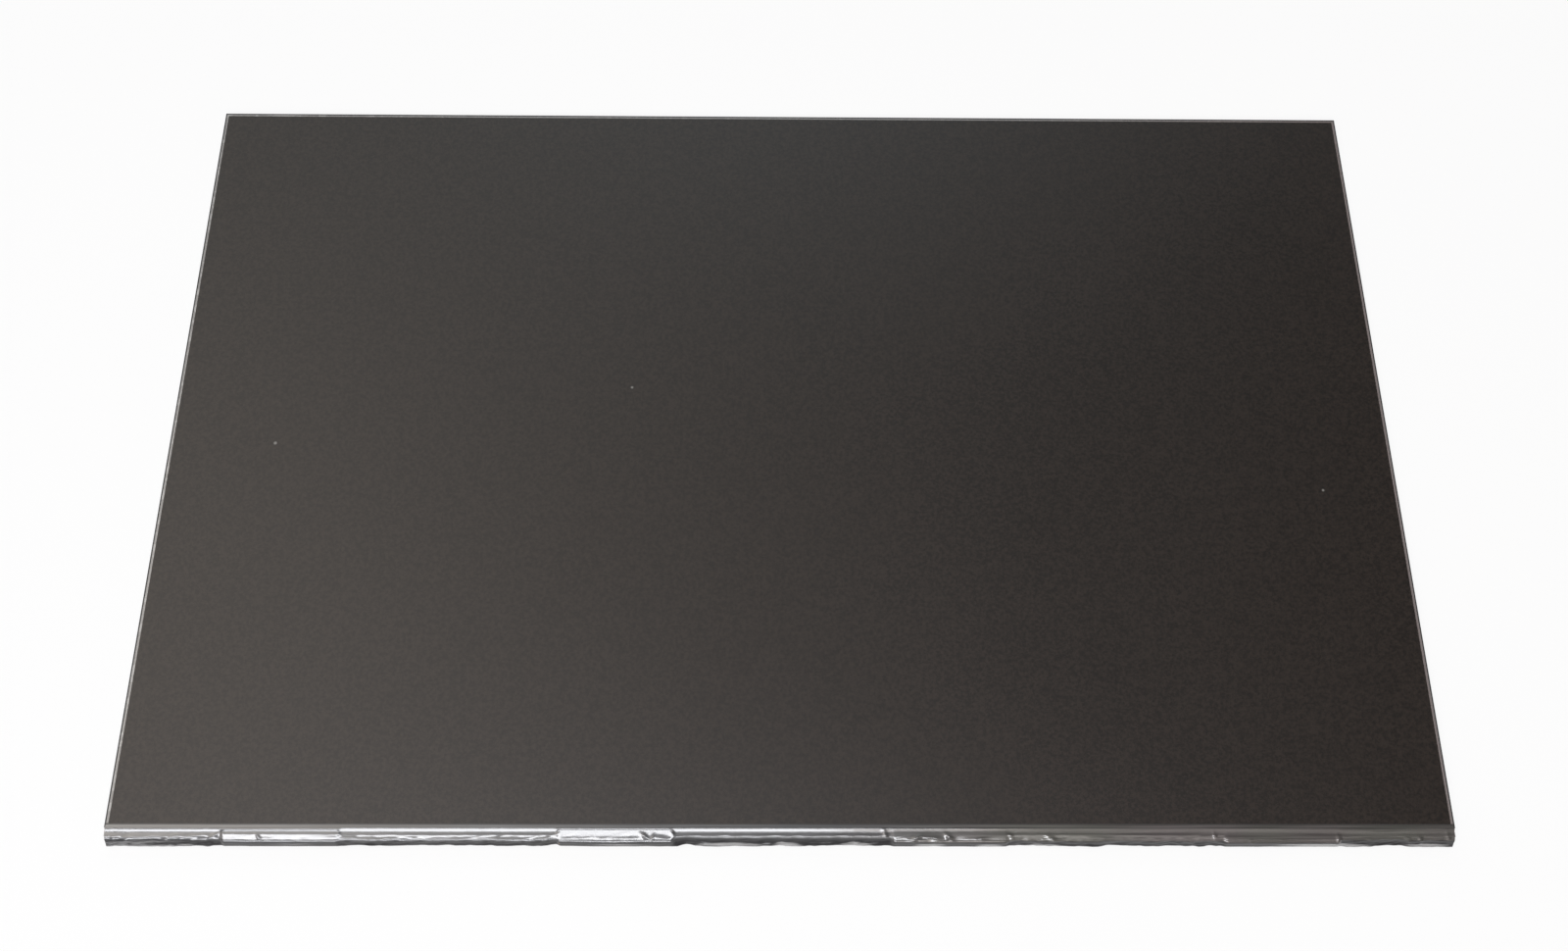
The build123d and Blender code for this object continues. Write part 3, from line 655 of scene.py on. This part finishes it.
def soft_step(amount):
    amount = min(1.0, max(0.0, amount))
    return amount * amount * (3.0 - 2.0 * amount)


def within(x, start, end, soft):
    """1 between start and end and 0 outside, passing from one to the other over a soft distance."""
    return soft_step((x - start) / soft + 0.5) * soft_step((end - x) / soft + 0.5)


def bulge(x, start, end):
    """A smooth hump from 0 at start to 1 half-way and 0 at end."""
    part = (x - start) / (end - start)
    return math.sin(math.pi * part) if 0.0 < part < 1.0 else 0.0


def along_points(values, reach):
    """A value given at a section's points, read between two of them."""
    step = min(int(reach), len(values) - 2)
    return values[step] + (values[step + 1] - values[step]) * min(1.0, reach - step)


def tab_spans():
    """Start, end and route of the film over each tab."""
    spans = []
    for number, route in TAB_ROUTES.items():
        low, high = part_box(f"driver_film_{number}")
        spans.append((low[0] / MM - TAB_MARGIN, high[0] / MM + TAB_MARGIN, route))
    return spans


def covering_tab(x, spans):
    """How far a tab carries the film at x, and the route over that tab."""
    for start, end, route in spans:
        cover = within(x, start, end, TAB_SOFTNESS)
        if cover > 0.0:
            return cover, route
    return 0.0, None


def film_section(x, cover, tab_route):
    """The film's section at x: slack between the tabs, drawn over a tab, bitten in at the lower edge."""
    slack_route = next(route for end, route in SLACK_STRETCHES if x <= end)
    wave = sum(
        depth * soft_step(noise.noise(Vector((x * pace, *spot))) + level)
        for depth, pace, spot, level in WAVES
    )
    wave *= within(x, *WAVY_EDGE, WAVE_FADE)
    bitten = sum(amount * bulge(x, start, end) for start, end, amount in BITES)
    bite = (wave + bitten) * (1.0 - TAB_HOLD * cover)
    section = []
    for step, slack in enumerate(slack_route):
        place = Vector(slack)
        if cover:
            place = place.lerp(Vector(tab_route[step]), cover)
        if step < len(BITE):
            place.x += bite * BITE[step]
        section.append(place)
    return section


def smooth_run(section, reach):
    """The place on the smooth line that a section's points guide, so many points along it."""
    step = min(int(reach), len(section) - 3)
    part = reach - step
    first, middle, last = section[step:step + 3]
    return first * (0.5 * (1 - part) ** 2) + middle * (0.5 + part * (1 - part)) + last * (0.5 * part * part)


def film_columns():
    """Places along the edge: close together at the puckers, wider apart between."""
    marks = [pucker[0] for pucker in PUCKERS]
    columns = [-FILM_HALF]
    while columns[-1] < FILM_HALF:
        gap = min(abs(columns[-1] - mark) for mark in marks)
        columns.append(columns[-1] + min(WIDE_STEP, CLOSE_STEP + STEP_GROWTH * gap))
    columns[-1] = FILM_HALF
    for side in PLUG_NOTCH:
        nearest = min(range(len(columns)), key=lambda index: abs(columns[index] - side))
        columns[nearest] = side
    return columns


def film_rows():
    """Places down a section: few on the flat lap and flap, many over the ledge and the fall."""
    first, last = CLOSE_ROWS
    crowded = [first + step / ROWS_TO_A_POINT for step in range((last - first) * ROWS_TO_A_POINT + 1)]
    lap_rows = [float(point) for point in range(first)]
    flap_rows = [float(point) for point in range(last + 1, LAST_POINT + 1)]
    return lap_rows + crowded + flap_rows


def creases(x, down, paces, level):
    """Noise that runs slantwise over the film."""
    along, aslant, downward = paces
    return noise.noise(Vector((x * along + down * aslant, down * downward, level)))


def crumpled(x, down, reach, cover):
    """How far the film stands off its smooth run: puckers, and a crumple that grows towards the lip."""
    rise = 0.0
    for middle, depth, length, width, slant, height in PUCKERS:
        if abs(x - middle) < PUCKER_REACH * length:
            turn = math.radians(slant)
            along = (x - middle) * math.cos(turn) + (down - depth) * math.sin(turn)
            aside = (down - depth) * math.cos(turn) - (x - middle) * math.sin(turn)
            rise += height * math.exp(-((along / length) ** 2) - (aside / width) ** 2)
    ridge = 1.0 - RIDGE_SHARPNESS * abs(creases(x, down, RIDGE_PACES, RIDGE_LEVEL))
    kink = creases(x, down, KINK_PACES, KINK_LEVEL)
    loose = CORNER_LOOSENESS if x < CORNER_CRUMPLE else 1.0
    strength = along_points(CRUMPLE, reach) * loose
    push = rise + strength * (ridge + KINK_SHARE * kink) * (1.0 - TAB_TAUTNESS * cover)
    return max(push, TAB_DIP) if cover > TAB_CARRIES else push


def lip_highlight_at(x, reach):
    """Painted highlight on the lower edge: how pale it is painted, in lens-shaped patches where one layer of
    film stands free.
    """
    pale = 0.0
    for start, end, paleness, breadth in PAINTED_LIP_HIGHLIGHTS:
        lens = bulge(x, start, end) ** 0.5
        inside = soft_step((breadth * lens - abs(reach - LIP_POINT)) / LIP_SOFTNESS + 0.5)
        pale = max(pale, paleness * lens * inside)
    return pale


def wrap_edge_film():
    columns = film_columns()
    rows = film_rows()
    spans = tab_spans()
    covers = [covering_tab(x, spans) for x in columns]
    sections = [film_section(x, *cover) for x, cover in zip(columns, covers)]
    film = bmesh.new()
    bmesh.ops.create_grid(film, x_segments=len(columns) - 1, y_segments=len(rows) - 1, size=1.0)
    lip_highlight = film.verts.layers.float.new("lip_highlight")
    spots = {}
    for vertex in film.verts:
        column = round((vertex.co.x + 1.0) / 2 * (len(columns) - 1))
        row = round((1.0 - vertex.co.y) / 2 * (len(rows) - 1))
        spots[vertex] = (column, row)
        inward, height = smooth_run(sections[column], rows[row])
        # Painted highlight of the lower lip, kept on each point of the film
        vertex[lip_highlight] = lip_highlight_at(columns[column], rows[row])
        vertex.co = (columns[column] * MM, NEAR_EDGE + inward * MM, height * MM)
    bmesh.ops.recalc_face_normals(film, faces=film.faces)
    crumple_film(film, spots, columns, rows, covers)
    first, last = [columns.index(side) for side in PLUG_NOTCH]
    start = rows.index(NOTCH_POINT)
    cut = []
    for face in film.faces:
        face.smooth = True
        held = [spots[vertex] for vertex in face.verts]
        if all(first <= column <= last and row >= start for column, row in held):
            cut.append(face)
    bmesh.ops.delete(film, geom=cut, context="FACES")
    for edge in film.edges:
        edge.smooth = not edge.is_boundary
    wrapped = finished_object("wrapped_edge_film", film, glossy_film())
    wall = wrapped.modifiers.new("film_thickness", "SOLIDIFY")
    wall.thickness = FILM_THICKNESS * MM
    wall.offset = -1.0
    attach(wrapped, "root")
    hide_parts("edge_film")


def crumple_film(film, spots, columns, rows, covers):
    """Push each point of the film off its smooth run, by its distance down the film from the lap."""
    film.normal_update()
    places = {spots[vertex]: vertex.co.copy() for vertex in film.verts}
    down = {(column, 0): 0.0 for column in range(len(columns))}
    for column in range(len(columns)):
        for row in range(1, len(rows)):
            step = (places[column, row] - places[column, row - 1]).length / MM
            down[column, row] = down[column, row - 1] + step
    for vertex in film.verts:
        column, row = spots[vertex]
        push = crumpled(columns[column], down[column, row], rows[row], covers[column][0])
        vertex.co += vertex.normal * push * MM
        vertex.co.y = max(vertex.co.y, NEAR_EDGE)
        vertex.co.z = min(vertex.co.z, panel_high[2])


# Small parts on the rear of the board
BOARD_REAR = 0.95
MIDDLE_ROW = -85.2
OUTER_ROW = -86.5
CAPACITOR_SIZE = (0.8, 1.6, 0.8)
CAPACITOR_CAP = 0.36
CAPACITOR_BEVEL = 0.05
CAPACITOR_PITCH = (1.6, 2.6)
CAPACITOR_GROUPS = [(-58, 2, 2), (-36, 6, 1), (-7.5, 2, 3), (8, 2, 3), (29, 3, 2), (44, 4, 1), (53, 2, 2)]
RESISTOR_SIZE = (0.5, 1.0, 0.35)
RESISTOR_CAP = 0.22
RESISTOR_BEVEL = 0.03
RESISTOR_PITCH = (1.2, 1.8)
RESISTOR_GROUPS = [(-116, 6, 1), (-95, 6, 1), (-62, 2, 2), (-21, 3, 2), (84, 4, 1), (112, 6, 1)]
# A chip part's body against its metal ends, and its solder's width, length and height against theirs
BODY_SHARE = 0.96
FILLET_SHARES = (1.1, 1.3, 0.45)
# Places of a chip part's materials
BODY, TIN = 0, 1


def places_in_groups(groups, row, pitch):
    for middle, columns, rows in groups:
        for column in range(columns):
            for line in range(rows):
                x = middle + (column - (columns - 1) / 2) * pitch[0]
                yield x, row + (line - (rows - 1) / 2) * pitch[1]


def add_block(shape, middle, size, slot=0, bevel=0.0):
    """A block in millimetres, its edges softened by any bevel, wearing one of the piece's materials."""
    placed = Matrix.Translation(Vector(middle) * MM) @ Matrix.Diagonal((*(Vector(size) * MM), 1.0))
    corners = bmesh.ops.create_cube(shape, size=1.0, matrix=placed)["verts"]
    faces = {face for corner in corners for face in corner.link_faces}
    for face in faces:
        face.material_index = slot
    if bevel:
        edges = {edge for corner in corners for edge in corner.link_edges}
        bmesh.ops.bevel(
            shape, geom=list(edges), offset=bevel * MM, affect="EDGES", segments=1, profile=0.5, material=-1
        )


def add_fillet(shape, x, y, size, slot):
    """Solder that climbs the end of a chip part: wide at the board, narrow above."""
    placed = (
        Matrix.Translation(Vector((x, y, BOARD_REAR - size[2] / 2)) * MM)
        @ Matrix.Diagonal((size[0] * MM, size[1] * MM, size[2] * MM, 1.0))
        @ Matrix.Rotation(math.pi / 4, 4, "Z")
    )
    made = bmesh.ops.create_cone(
        shape, cap_ends=True, segments=4, radius1=0.5, radius2=math.sqrt(0.5), depth=1.0, matrix=placed
    )
    for face in {face for corner in made["verts"] for face in corner.link_faces}:
        face.material_index = slot


def chip_parts(name, node, groups, row, pitch, size, body_material, cap_length, bevel):
    parts = bmesh.new()
    width, length, height = size
    level = BOARD_REAR - height / 2
    body = (width * BODY_SHARE, length - cap_length, height * BODY_SHARE)
    cap = (width, cap_length, height)
    fillet = [side * share for side, share in zip(cap, FILLET_SHARES)]
    for x, y in places_in_groups(groups, row, pitch):
        add_block(parts, (x, y, level), body, BODY, bevel)
        for end in (-1, 1):
            cap_middle = y + end * (length - cap_length) / 2
            add_block(parts, (x, cap_middle, level), cap, TIN, bevel)
            add_fillet(parts, x, y + end * length / 2, fillet, TIN)
    made = finished_object(name, parts, body_material)
    made.data.materials.append(bright_tin())
    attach(made, "root")
    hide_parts(node)


# Leads that show round each moulded package: node, leads along X, leads along Y, pitch
PACKAGE_LEADS = [
    ("timing_controller", 14, 14, 0.5), ("power_chip", 8, 8, 0.5), ("led_driver_chip", 6, 6, 0.5),
    ("memory_chip", 4, 0, 0.8), ("boost_diode", 1, 0, 1.0),
]
LEAD_REACH = 0.22
LEAD_HEIGHT = 0.06
# A lead's width against the pitch
LEAD_SHARE = 0.5


def solder_leads():
    leads = bmesh.new()
    for node, along, across, pitch in PACKAGE_LEADS:
        low, high = (Vector(corner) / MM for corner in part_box(node))
        middle = (low + high) / 2
        for count, turned in ((along, False), (across, True)):
            for index in range(count):
                shift = (index - (count - 1) / 2) * pitch
                for side in (-1, 1):
                    if turned:
                        place = (middle.x + side * (high.x - middle.x + LEAD_REACH / 2), middle.y + shift)
                        size = (LEAD_REACH, LEAD_SHARE * pitch, LEAD_HEIGHT)
                    else:
                        place = (middle.x + shift, middle.y + side * (high.y - middle.y + LEAD_REACH / 2))
                        size = (LEAD_SHARE * pitch, LEAD_REACH, LEAD_HEIGHT)
                    add_block(leads, (*place, BOARD_REAR - LEAD_HEIGHT / 2), size)
    made = finished_object("package_leads", leads, bright_tin())
    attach(made, "root")


def bright_tin():
    if "bright_tin" in bpy.data.materials:
        return bpy.data.materials["bright_tin"]
    return grained("bright_tin", (0.58, 0.58, 0.57), (0.74, 0.74, 0.73), 2600.0, 0.22, metallic=1.0)


def fit_board_parts():
    ceramic = grained("capacitor_ceramic", (0.36, 0.25, 0.16), (0.50, 0.37, 0.26), 2200.0, 0.42)
    chip_parts(
        "tipped_capacitors", "capacitors", CAPACITOR_GROUPS, MIDDLE_ROW, CAPACITOR_PITCH,
        CAPACITOR_SIZE, ceramic, CAPACITOR_CAP, CAPACITOR_BEVEL,
    )
    black_glaze = grained("resistor_ceramic", (0.016, 0.016, 0.017), (0.034, 0.034, 0.035), 2600.0, 0.28)
    chip_parts(
        "tipped_resistors", "resistors", RESISTOR_GROUPS, OUTER_ROW, RESISTOR_PITCH,
        RESISTOR_SIZE, black_glaze, RESISTOR_CAP, RESISTOR_BEVEL,
    )
    solder_leads()


def dress_nodes():
    glass = bare_glass()
    tape = black_tape()
    sheet = prism_sheet()
    mould = grained("chip_mould", (0.014, 0.014, 0.015), (0.034, 0.034, 0.035), 3200.0, 0.50, depth=0.02)
    driver_film = amber_driver_film()
    silicon = grained("driver_chip", (0.050, 0.052, 0.058), (0.075, 0.078, 0.085), 900.0, 0.12)
    finishes = {
        "front_polariser": matte_face(),
        "rear_polariser": grained(
            "rear_polariser", (0.030, 0.029, 0.028), (0.045, 0.043, 0.042), 4000.0, 0.3
        ),
        "colour_filter_glass": glass,
        "array_glass": glass,
        "reflector_sheet": grained("white_sheet", (0.80, 0.80, 0.79), (0.90, 0.90, 0.89), 1500.0, 0.35),
        "light_guide_plate": dotted_guide(),
        "diffuser_sheet": sheet,
        "lower_prism_sheet": sheet,
        "upper_prism_sheet": sheet,
        "frame_tape": tape,
        "board_tape": tape,
        "edge_tape_left": tape,
        "edge_tape_right": tape,
        "edge_tape_far": tape,
        "mould_frame": grained("frame_plastic", (0.76, 0.76, 0.74), (0.86, 0.86, 0.84), 1600.0, 0.45),
        "rear_tray": rolled_aluminium(),
        "led_flex": grained("white_flex", (0.72, 0.72, 0.70), (0.82, 0.82, 0.80), 1200.0, 0.4),
        "leds": light_bar_emitters(),
        "driver_board": solder_mask(),
        "timing_controller": mould,
        "power_chip": mould,
        "memory_chip": mould,
        "led_driver_chip": mould,
        "boost_diode": mould,
        "power_inductors": grained(
            "ferrite", (0.060, 0.060, 0.064), (0.12, 0.12, 0.125), 1800.0, 0.5, depth=0.03
        ),
        "socket_body": grained("socket_plastic", (0.030, 0.030, 0.030), (0.055, 0.055, 0.054), 2400.0, 0.4),
        "socket_shell": drawn_steel(),
        "socket_contacts": grained(
            "contact_gold", (0.72, 0.50, 0.18), (0.84, 0.62, 0.27), 3000.0, 0.18, metallic=1.0
        ),
    }
    for number in range(1, 5):
        finishes[f"driver_film_{number}"] = driver_film
        finishes[f"driver_chip_{number}"] = silicon
    for name, finish in finishes.items():
        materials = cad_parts[name].data.materials
        materials.clear()
        materials.append(finish)


set_camera()
lay_floor()
light_studio()
dress_nodes()
wrap_edge_film()
fit_board_parts()

bpy.context.scene.view_settings.view_transform = "Standard"
